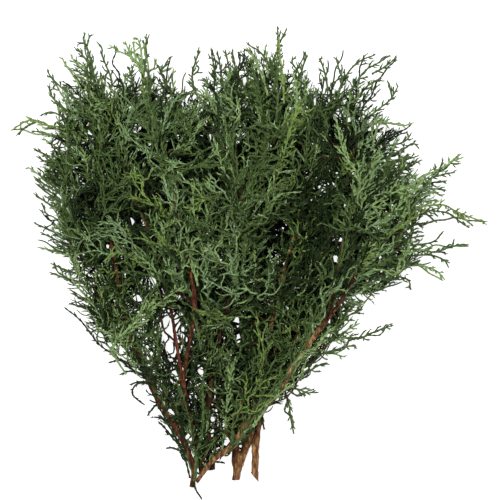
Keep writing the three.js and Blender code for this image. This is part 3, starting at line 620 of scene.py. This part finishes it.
# sprays in layers up through the pile: share of its height, distance between sprays, colours, width and step of the shoots
# the colours of the lower layers lean to deep and shade: painted shade under the upper sprays
LAYERS = [
    (0.05, 19, (1, 0, 0, 0, 0, 9), 1.75, 5.2, False),
    (0.14, 21, (1.5, 0, 0, 0, 0, 7), 1.5, 4.6, False),
    (0.26, 22, (3.5, 0.3, 0, 0, 0, 5), 1.2, 3.8, False),
    (0.46, 25, (6, 1.5, 0, 0, 0, 1.5), 1.04, 3.3, False),
    (0.70, 27, (3.6, 5, 1.2, 0.3, 0.2, 0.2), 1.0, 2.7, True),
    (0.96, 29, None, 1.0, 2.5, True),
]
TOP = len(LAYERS) - 1
HEART_SHADE = np.array((6, 4, 0.6, 0.2, 0.1, 0.6)) / 11.5  # painted shade: darker colours just under the top in the middle of the pile
HOLLOW_SHADE = np.array((7.4, 3.0, 0.4, 0.1, 0.1, 1)) / 12  # painted shade: darker colours for the dark hollow on the right
RIM_LIGHT = np.array((0.3, 5, 5, 2.5, 0.5, 0)) / 13.3  # painted light: lighter colours for the top sprays at the bright top left and along the top edge
# colours at the pile's outer edges, where it thins out and all of it is in the light
EDGE = np.array((1.2, 5.5, 3.8, 2, 0.5, 0)) / 13
EDGE_LOW = np.array((5, 5, 1, 0, 0.4, 0)) / 11.4
for layer, (share, spacing, colours, thick, step, tips) in enumerate(LAYERS):
    rng = np.random.default_rng(431 + layer)
    gx, gy = np.meshgrid(np.arange(26, 440, spacing), np.arange(48, 476, spacing))
    gx = gx + (np.arange(len(gy)) % 2)[:, None] * spacing / 2
    targets = np.stack([gx.ravel(), gy.ravel()], -1) + rng.uniform(-0.42, 0.42, (gx.size, 2)) * spacing
    edge = outside(targets)
    # the lowest layers stay away from the tips, so that the edge is open
    rim = np.interp(targets[:, 1], [0, 130, 260, 500], [17, 17, 8, 5]) if layer < TOP - 1 else 3
    keep = edge < -rim
    for (x, y), far_in in zip(targets[keep], -edge[keep]):
        sparse = max([t[3] for t in THIN if math.hypot(x - t[0], y - t[1]) < t[2]] or [0.0])
        if layer < TOP - 1 and rng.random() < sparse:
            continue
        found, near = column(place([x, y, 25])[:2])
        if found:
            top = max(f[1] for f in found)
            z = max(3.0, top * min(1.0, share + rng.uniform(-0.1, 0.1)) - 1)
            n = min(found, key=lambda f: max(f[0] - z, z - f[1], 0))[2] if layer < TOP else max(found, key=lambda f: f[1])[2]
        else:
            n = near
            z = 4 + 14 * share
        mass, kind, weights, root, tip, w, h = LOBES[n]
        chance = weights if colours is None else np.array(colours, float) / sum(colours)
        # painted shade: the sprays just under the top in the middle take darker colours
        if layer == TOP - 1 and far_in > 40 and 185 < y < 335:
            chance = HEART_SHADE
        deep = 46 if y < 125 else 34
        if far_in < deep and (y < 270 or x > 300) and rng.random() < np.interp(far_in, [12, deep], [0.95, 0.0]):
            chance = EDGE
        elif layer < TOP and far_in < 22 and y >= 270:
            chance = EDGE_LOW
        wide = 1.1 if layer < 2 and (sparse or far_in < 26) else thick
        # the lower sprays stay in the pile
        ceiling = CEILING if layer == TOP or not found else max(12.0, top * (0.6 + 0.35 * share))
        if kind == "tuft" and layer >= TOP - 1 and 190 < y and x < 330 and rng.random() < 0.65:
            kind = "thread"
        # painted shade in the hollow on the right; painted light on the top sprays at the top left and along the top
        # edge
        if 296 < x < (362 if y < 215 else 352) and 145 < y < 270:
            chance = HOLLOW_SHADE
        elif layer == TOP and (y < 120 and x < 135 or y < 112 and 205 < x < 335):
            chance = RIM_LIGHT
        elif y < 118 and 205 < x < 335 and rng.random() < 0.8:
            chance = EDGE
        if y > 190 and 185 < x < 310:
            # few blue-green sprays in the lower middle
            chance = np.array(chance, float)
            chance[1] += chance[3] * 0.6
            chance[3] *= 0.4
        d = KINDS[kind]
        end = place([x, y, z])
        long = rng.uniform(*d["long1"])
        axis = unit(tip - root)
        # out from the stems' feet and along the lobe, and then some way off it to either side
        fan = unit(end * [1, 1, 0] - np.array([-10.0, -300.0, 0.0]))
        flat = unit(axis * [1, 1, 0] + 0.6 * fan)
        off = rng.normal(0, 34 if kind == "tuft" else 27) * math.pi / 180
        flat = np.array([flat[0] * math.cos(off) - flat[1] * math.sin(off), flat[0] * math.sin(off) + flat[1] * math.cos(off), 0])
        way = unit(flat + UP * rng.normal(0.05, 0.12))
        further = end + way * long * 0.3
        if outside(plan(further)[None])[0] < 1:
            end = further
        want = end - way * long
        above = np.maximum(0, HOSTS[:, 2] - want[2] - 3)
        score = np.linalg.norm(HOSTS - want, axis=1) + 1.5 * above + 2.5 * np.maximum(0, (HOSTS - want) @ way)
        mid = end - way * long * 0.55 + unit(np.cross(way, UP)) * rng.normal(0, 0.09) * long
        for k in np.argsort(score)[:120:8]:
            foot = HOSTS[k]
            gone = np.linalg.norm(mid - foot)
            via = [foot, foot + (HOST_TANGENTS[k] * 0.5 + unit(mid - foot) * 0.5) * gone * 0.4, mid, end] if gone > 12 else [foot, mid, end]
            line = wander(smooth_line(via, 30), d["drift"], d["pace"])
            if outside(plan(line[::3])).max() < 2.5 and open_gaps(line[None], 0.12)[0]:
                break
        else:
            continue
        full = length_of(line[None])[0]
        start = min(0.7, max(0.1, 1 - long / full))
        colour = int(rng.choice(6, p=chance))
        cut = int(29 * start * 0.8)
        if cut >= 2:
            if y > 300 or rng.random() < 0.06:
                twigs.append((line[: cut + 1].copy(), 1.1, 0.85))
            else:
                # the feet of the lower layers' sprays take the deep green as painted shade
                add(line[None, : cut + 1].copy(), 1.15, 0.95, [0 if layer < TOP - 1 else 1], 4, 4)
        add(line[None, cut:].copy(), 1.08 * wide, 0.78 * wide, [colour], 3 if layer < TOP - 1 else 4, step)
        grow(line, unit(UP + rng.normal(0, 0.45, 3))[None], kind, colour, chance, d["wide2"] * rng.uniform(0.75, 1.15), start, 3.0, wide, step, tips)
rng = np.random.default_rng(997)
ceiling = CEILING

for z0, z1, colour, shoots, path, *own in SPRAYS:
    n = len(path)
    pts = place([(x, y, z0 + (z1 - z0) * i / (n - 1)) for i, (x, y) in enumerate(path)])
    span = np.linalg.norm(np.diff(pts, axis=0), axis=1).sum()
    line = smooth_line(pts, max(5, int(span / 2.4)))[None]
    tone = colour if rng.random() < 0.7 else int(rng.choice([1, 2]))
    add(line.copy(), own[0] if own else 1.2, own[0] * 0.6 if own else 0.85, [tone], 5 if own else 4)
    normal = unit(UP + rng.normal(0, 0.25, 3))[None]
    c2, i2, t2, n2 = side_shoots(
        line, normal, 4.4, 0.1, 0.95, 46, 0.45, lambda idx, t: shoots * (1.12 - t) ** 0.5 * rng.uniform(0.6, 1.3, len(t)) + 1.8, max(3, int(shoots / 2.2)), 0.5, 0.04)
    add(c2, 1.0, 0.75, np.full(len(c2), tone), 3, 2.2)
    if shoots >= 6:
        l2 = length_of(c2)
        c3, i3, t3, n3 = side_shoots(
            c2, n2, 3.6, 0.2, 0.95, 44, 0.5, lambda idx, t: np.clip(l2[idx] * 0.5, 2.5, 9) * (1.1 - t) ** 0.5 * rng.uniform(0.6, 1.2, len(t)), 4, 0.4, 0.03)
        add(c3, 0.95, 0.7, np.full(len(c3), tone), 3, 2.6)

# =================================================================================================
# Meshes
# =================================================================================================


def tubes(curves, r0, r1, sides):
    """Scale-leaf branchlets: rings that turn half a step each time, so that every stretch is a whorl of scales.
    Returns vertices and triangles."""
    n, k, _ = curves.shape
    along = np.empty_like(curves)
    along[:, 1:-1] = curves[:, 2:] - curves[:, :-2]
    along[:, 0] = curves[:, 1] - curves[:, 0]
    along[:, -1] = curves[:, -1] - curves[:, -2]
    along = unit(along)
    ref = np.where(np.abs(along[..., 2:3]) > 0.9, np.array([1.0, 0, 0]), UP)
    side = unit(np.cross(along, ref))
    over = np.cross(side, along)
    r = np.linspace(r0, r1, k) * (1 + 0.13 * (-1.0) ** np.arange(k))
    r[-1] *= 0.45
    spin = rng.random((n, 1, 1)) * 6.28
    ang = spin + 2 * np.pi * (np.arange(sides)[None, None] + 0.5 * (np.arange(k) % 2)[None, :, None]) / sides
    v = curves[:, :, None] + r[None, :, None, None] * (np.cos(ang)[..., None] * side[:, :, None] + np.sin(ang)[..., None] * over[:, :, None])
    base = (np.arange(n) * k * sides)[:, None, None]
    ring = (np.arange(k - 1) * sides)[None, :, None]
    j = np.arange(sides)[None, None]
    jn = (j + 1) % sides
    a, a1 = base + ring + j, base + ring + jn
    b, b1 = a + sides, a1 + sides
    odd = (np.arange(k - 1) % 2 == 1)[None, :, None]
    f1 = np.where(odd[..., None], np.stack([a, b1 + 0 * a, b], -1), np.stack([a, a1, b], -1))
    f2 = np.where(odd[..., None], np.stack([a, a1, b1], -1), np.stack([a1, b1, b], -1))
    faces = np.concatenate([f1.reshape(-1, 3), f2.reshape(-1, 3)])
    last = base[:, 0] + (k - 1) * sides
    tip = np.concatenate([np.stack([last[:, 0], last[:, 0] + m, last[:, 0] + m + 1], -1) for m in range(1, sides - 1)])
    return v.reshape(-1, 3), np.concatenate([faces, tip])


def mesh_object(name, verts, faces, material, smooth=False):
    """verts in mm, faces as an array of triangles or quads."""
    me = bpy.data.meshes.new(name)
    n, k = faces.shape
    me.vertices.add(len(verts))
    me.vertices.foreach_set("co", (verts * MM).astype(np.float32).ravel())
    me.loops.add(n * k)
    me.loops.foreach_set("vertex_index", faces.astype(np.int32).ravel())
    me.polygons.add(n)
    me.polygons.foreach_set("loop_start", (np.arange(n) * k).astype(np.int32))
    me.polygons.foreach_set("loop_total", np.full(n, k, np.int32))
    me.polygons.foreach_set("use_smooth", np.full(n, smooth))
    me.update(calc_edges=True)
    me.validate()
    me.materials.append(material)
    o = bpy.data.objects.new(name, me)
    scene.collection.objects.link(o)
    return o


def new_material(name, colour, roughness, specular=0.3):
    m = bpy.data.materials.new(name)
    m.use_nodes = True
    nt = m.node_tree
    b = nt.nodes["Principled BSDF"]
    b.inputs["Base Color"].default_value = (*colour, 1)
    b.inputs["Roughness"].default_value = roughness
    b.inputs["Specular IOR Level"].default_value = specular
    return m, nt, b


def srgb(r, g, b):
    return tuple(((c / 255 + 0.055) / 1.055) ** 2.4 if c > 10 else c / 255 / 12.92 for c in (r, g, b))


def leaf_material(name, colour):
    """Scale leaves: a plain base colour, a little lighter and darker from scale to scale, satin."""
    m, nt, b = new_material(name, colour, 0.6, 0.18)
    tc = nt.nodes.new("ShaderNodeTexCoord")
    noise = nt.nodes.new("ShaderNodeTexNoise")
    noise.inputs["Scale"].default_value = 340
    noise.inputs["Detail"].default_value = 1.5
    ramp = nt.nodes.new("ShaderNodeValToRGB")
    ramp.color_ramp.elements[0].position = 0.3
    ramp.color_ramp.elements[1].position = 0.72
    ramp.color_ramp.elements[0].color = (colour[0] * 0.54, colour[1] * 0.56, colour[2] * 0.4, 1)
    ramp.color_ramp.elements[1].color = (*[min(1, c * k) for c, k in zip(colour, (1.56, 1.57, 1.64))], 1)
    nt.links.new(tc.outputs["Object"], noise.inputs["Vector"])
    nt.links.new(noise.outputs["Fac"], ramp.inputs["Fac"])
    nt.links.new(ramp.outputs["Color"], b.inputs["Base Color"])
    bump = nt.nodes.new("ShaderNodeBump")
    bump.inputs["Strength"].default_value = 0.25
    bump.inputs["Distance"].default_value = 0.0004
    nt.links.new(noise.outputs["Fac"], bump.inputs["Height"])
    nt.links.new(bump.outputs["Normal"], b.inputs["Normal"])
    return m


def bark_material(name, dark, mid, pale):
    """Bark: long flakes along the stem, with pale scars."""
    m, nt, b = new_material(name, mid, 0.8, 0.2)
    tc = nt.nodes.new("ShaderNodeTexCoord")
    mapping = nt.nodes.new("ShaderNodeMapping")
    mapping.inputs["Scale"].default_value = (1, 0.2, 1)
    noise = nt.nodes.new("ShaderNodeTexNoise")
    noise.inputs["Scale"].default_value = 480
    noise.inputs["Detail"].default_value = 5
    noise.inputs["Roughness"].default_value = 0.65
    big = nt.nodes.new("ShaderNodeTexNoise")
    big.inputs["Scale"].default_value = 55
    big.inputs["Detail"].default_value = 6
    big.inputs["Roughness"].default_value = 0.7
    ramp = nt.nodes.new("ShaderNodeValToRGB")
    e = ramp.color_ramp.elements
    e[0].position, e[0].color = 0.36, (*dark, 1)
    e[1].position, e[1].color = 0.68, (*pale, 1)
    x = e.new(0.5)
    x.color = (*mid, 1)
    mix = nt.nodes.new("ShaderNodeMix")
    mix.data_type = "RGBA"
    mix.blend_type = "MULTIPLY"
    mix.inputs["Factor"].default_value = 0.85
    ramp2 = nt.nodes.new("ShaderNodeValToRGB")
    ramp2.color_ramp.elements[0].position = 0.4
    ramp2.color_ramp.elements[0].color = (0.5, 0.44, 0.4, 1)
    ramp2.color_ramp.elements[1].position = 0.6
    nt.links.new(tc.outputs["Object"], mapping.inputs["Vector"])
    nt.links.new(mapping.outputs["Vector"], noise.inputs["Vector"])
    nt.links.new(tc.outputs["Object"], big.inputs["Vector"])
    nt.links.new(noise.outputs["Fac"], ramp.inputs["Fac"])
    nt.links.new(big.outputs["Fac"], ramp2.inputs["Fac"])
    nt.links.new(ramp.outputs["Color"], mix.inputs["A"])
    nt.links.new(ramp2.outputs["Color"], mix.inputs["B"])
    nt.links.new(mix.outputs["Result"], b.inputs["Base Color"])
    bump = nt.nodes.new("ShaderNodeBump")
    bump.inputs["Strength"].default_value = 0.6
    bump.inputs["Distance"].default_value = 0.0008
    nt.links.new(noise.outputs["Fac"], bump.inputs["Height"])
    nt.links.new(bump.outputs["Normal"], b.inputs["Normal"])
    return m


# deep is partly painted shade and shade is wholly painted shade, both given to the lower sprays
LEAF_COLOURS = {
    "deep": (srgb(28, 42, 15), "foliage_deep_green"),
    "mid": (srgb(70, 89, 47), "foliage_green"),
    "light": (srgb(119, 142, 91), "foliage_green"),
    "blue": (srgb(114, 138, 96), "foliage_blue_green"),
    "yellow": (srgb(107, 128, 66), "foliage_yellow_green"),
    "shade": (srgb(10, 18, 4), "foliage_deep_green"),
}
BARKS = {
    "bark_tan": bark_material("bark_tan", srgb(48, 29, 16), srgb(126, 84, 48), srgb(206, 170, 122)),
    "bark_red": bark_material("bark_red", srgb(34, 15, 9), srgb(94, 44, 26), srgb(160, 100, 64)),
    "bark_dark": bark_material("bark_dark", srgb(28, 17, 11), srgb(68, 41, 27), srgb(118, 84, 57)),
    "twig": bark_material("twig_bark", srgb(34, 20, 11), srgb(70, 42, 22), srgb(104, 70, 40)),
}

# leaves: one mesh kind for each colour, split so that none passes the limit
LIMIT = 180_000
total_triangles = 0
for c, colour in enumerate(COLOURS):
    parts = []
    for curves, r0, r1, tone, sides in batches:
        sel = curves[tone == c]
        if len(sel):
            parts.append(tubes(sel, r0, r1, sides))
    material = leaf_material("leaves_" + colour, LEAF_COLOURS[colour][0])
    group, count, made = [], 0, 0

    def flush():
        global group, count, made, total_triangles
        if not group:
            return
        offset, vs, fs = 0, [], []
        for v, f in group:
            vs.append(v)
            fs.append(f + offset)
            offset += len(v)
        made += 1
        o = mesh_object(f"leaves_{colour}_{made}", np.vstack(vs), np.vstack(fs), material)
        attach(o, "root")
        total_triangles += sum(len(f) for f in fs)
        group, count = [], 0

    for v, f in parts:
        if count + len(f) > LIMIT:
            flush()
        group.append((v, f))
        count += len(f)
    flush()

# woody feet of the boughs
vs, fs, offset = [], [], 0
for line, r0, r1 in twigs:
    v, f = tubes(settle(line[None].copy(), r0 * 1.2), r0, r1, 5)
    vs.append(v)
    fs.append(f + offset)
    offset += len(v)
twig_piece = mesh_object("twigs_woody", np.vstack(vs), np.vstack(fs), BARKS["twig"], True)
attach(twig_piece, "root")
total_triangles += sum(len(f) for f in fs)


# ---- stems and boughs with their bark ------------------------------------------------------------
def band_noise(rows, cols, step_rows, step_cols):
    """Smooth noise over a stem's surface, closed round it."""
    gr, gc = max(2, int(rows / step_rows) + 2), max(3, int(cols / step_cols))
    g = rng.normal(0, 1, (gr, gc))
    r = np.linspace(0, gr - 1.001, rows)
    c = np.arange(cols) * gc / cols
    ri, ci = r.astype(int), c.astype(int)
    rf, cf = (r - ri)[:, None], (c - ci)[None]
    rf, cf = rf * rf * (3 - 2 * rf), cf * cf * (3 - 2 * cf)
    c1 = (ci + 1) % gc
    return (g[ri][:, ci] * (1 - rf) + g[ri + 1][:, ci] * rf) * (1 - cf) + (g[ri][:, c1] * (1 - rf) + g[ri + 1][:, c1] * rf) * cf


feet = np.array(bough_feet)
SIDES = 18
CUT_SLOPE = {"stem_right": 1.1, "stem_forked": -0.15, "stem_crossing": 0.5}  # how far the foot runs on, for each mm to +X
# where a limb is fuller than its even taper: shares of its length, and how much is added to the radius (mm)
FULLER = {
    "bough_fork_left": ([0, 0.03, 0.14, 0.24], [0.3, 1.2, 1.2, 0]),
    "bough_fork_right": ([0, 0.03, 0.14, 0.24], [0.3, 1.2, 1.2, 0]),
    "stem_crossing": ([0, 0.12, 0.24, 0.42, 0.6, 0.85, 1], [-0.5, -0.2, 0.8, 0.9, 0.1, 0.5, 0.6]),
    "bough_right_front": ([0, 0.12, 0.25], [0.8, 0.8, 0]),
    "bough_mid_left_front": ([0.3, 0.36, 0.42, 0.48], [0, 0.9, 0.9, 0]),
}
for name, (bark, r0, r1, via) in LIMBS.items():
    via = [np.array(p, float) for p in via]
    if name in GROWS_FROM:
        host = limb_lines[GROWS_FROM[name]]
        k = max(0, len(host) - 7)
        via = [host[k]] + via
        via[1] = via[1] * 0.6 + (host[-1]) * 0.4
    total = sum(np.linalg.norm(b - a) for a, b in zip(via, via[1:]))
    rows = max(6, int(total / 1.3))
    line = smooth_line(via, rows)
    t = np.linspace(0, 1, rows)
    radius = r0 + (r1 - r0) * t
    if name in FULLER:
        radius = radius + np.interp(t, *FULLER[name])
    near = np.linalg.norm(line[:, None] - feet[None], axis=2)
    radius = radius * (1 + 0.12 * np.exp(-((near.min(1) / 3.0) ** 2)))
    radius = radius * np.interp(np.arange(rows)[::-1], [0, 1, 2.5, 4], [0.45, 0.75, 0.95, 1])  # the far end is round
    along = unit(np.gradient(line, axis=0))
    side = unit(np.cross(along, UP))
    over = np.cross(side, along)
    ang = np.linspace(0, 2 * np.pi, SIDES, endpoint=False)
    rough = 0.07 * band_noise(rows, SIDES, 5, 2.2) + 0.06 * band_noise(rows, SIDES, 12, 5) + 0.045 * band_noise(rows, SIDES, 2, 1.5)
    rr = radius[:, None] * (1 + rough)
    v = line[:, None] + rr[..., None] * (np.cos(ang)[None, :, None] * side[:, None] + np.sin(ang)[None, :, None] * over[:, None])
    if name in CUT_SLOPE:
        # an oblique cut: the foot's first rows reach further on one side
        for row in range(5):
            v[row] -= along[row] * ((v[row, :, :1] - line[row, 0]) * CUT_SLOPE[name] * (1 - row / 5))
    v[..., 2] = np.maximum(v[..., 2], 0.1)
    verts = v.reshape(-1, 3)
    i = np.arange(rows - 1)[:, None] * SIDES
    j = np.arange(SIDES)[None]
    jn = (j + 1) % SIDES
    faces = np.stack([i + j, i + SIDES + j, i + SIDES + jn, i + jn], -1).reshape(-1, 4)
    tri = np.concatenate([faces[:, [0, 1, 2]], faces[:, [0, 2, 3]]])
    verts = np.vstack([verts, line[0] + along[0] * 0.25, line[-1] + along[-1] * 0.8])
    a, b = rows * SIDES, rows * SIDES + 1
    jj = np.arange(SIDES)
    caps = np.concatenate([
        np.stack([np.full(SIDES, a), jj, (jj + 1) % SIDES], -1),
        np.stack([np.full(SIDES, b), (rows - 1) * SIDES + (jj + 1) % SIDES, (rows - 1) * SIDES + jj], -1),
    ])
    o = mesh_object("bark_" + name, verts, np.concatenate([tri, caps]), BARKS["bark_red" if name == "stem_left" else bark], True)
    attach(o, "root")
    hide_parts(name)

for k, mass in enumerate(MASSES):
    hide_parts(mass)

# =================================================================================================
# Stage, light and camera
# =================================================================================================
me = bpy.data.meshes.new("floor")
half = 6.0
me.from_pydata([(-half, -half, 0), (half, -half, 0), (half, half, 0), (-half, half, 0)], [], [(0, 1, 2, 3)])
floor = bpy.data.objects.new("floor", me)
scene.collection.objects.link(floor)
m, nt, b = new_material("floor_white", (0.45, 0.45, 0.45), 0.9, 0.1)
b.inputs["Emission Color"].default_value = (1, 1, 1, 1)
b.inputs["Emission Strength"].default_value = 0.9
me.materials.append(m)

world = bpy.data.worlds.new("studio")
scene.world = world
world.use_nodes = True
world.node_tree.nodes["Background"].inputs["Color"].default_value = (1, 1, 1, 1)
sky = world.node_tree.nodes.new("ShaderNodeTexCoord")
split = world.node_tree.nodes.new("ShaderNodeSeparateXYZ")
fade = world.node_tree.nodes.new("ShaderNodeMapRange")  # white round the horizon, dimmer overhead
fade.inputs["From Min"].default_value = 0.1
fade.inputs["From Max"].default_value = 0.4
fade.inputs["To Min"].default_value = 1.0
fade.inputs["To Max"].default_value = 0.2
world.node_tree.links.new(sky.outputs["Generated"], split.inputs["Vector"])
world.node_tree.links.new(split.outputs["Z"], fade.inputs["Value"])
world.node_tree.links.new(fade.outputs["Result"], world.node_tree.nodes["Background"].inputs["Strength"])


def area(name, where, target, size, power):
    light = bpy.data.lights.new(name, "AREA")
    light.shape = "SQUARE"
    light.size = size
    light.energy = power
    o = bpy.data.objects.new(name, light)
    o.location = where
    o.rotation_euler = (Vector(target) - Vector(where)).to_track_quat("-Z", "Y").to_euler()
    scene.collection.objects.link(o)


area("key", (-0.5, 0.7, 2.2), (0, 0, 0), 0.5, 53)
area("fill", (1.3, -0.6, 1.8), (0, 0, 0), 1.4, 10)

scene.view_settings.view_transform = "Standard"
scene.view_settings.look = "None"

cam = bpy.data.cameras.new("camera")
cam.lens = 150
cam.sensor_width = 36
cam.clip_start, cam.clip_end = 0.05, 50
camera = bpy.data.objects.new("camera", cam)
camera.location = (SHIFT[0] * MM, SHIFT[1] * MM, EYE * MM)
scene.collection.objects.link(camera)
scene.camera = camera
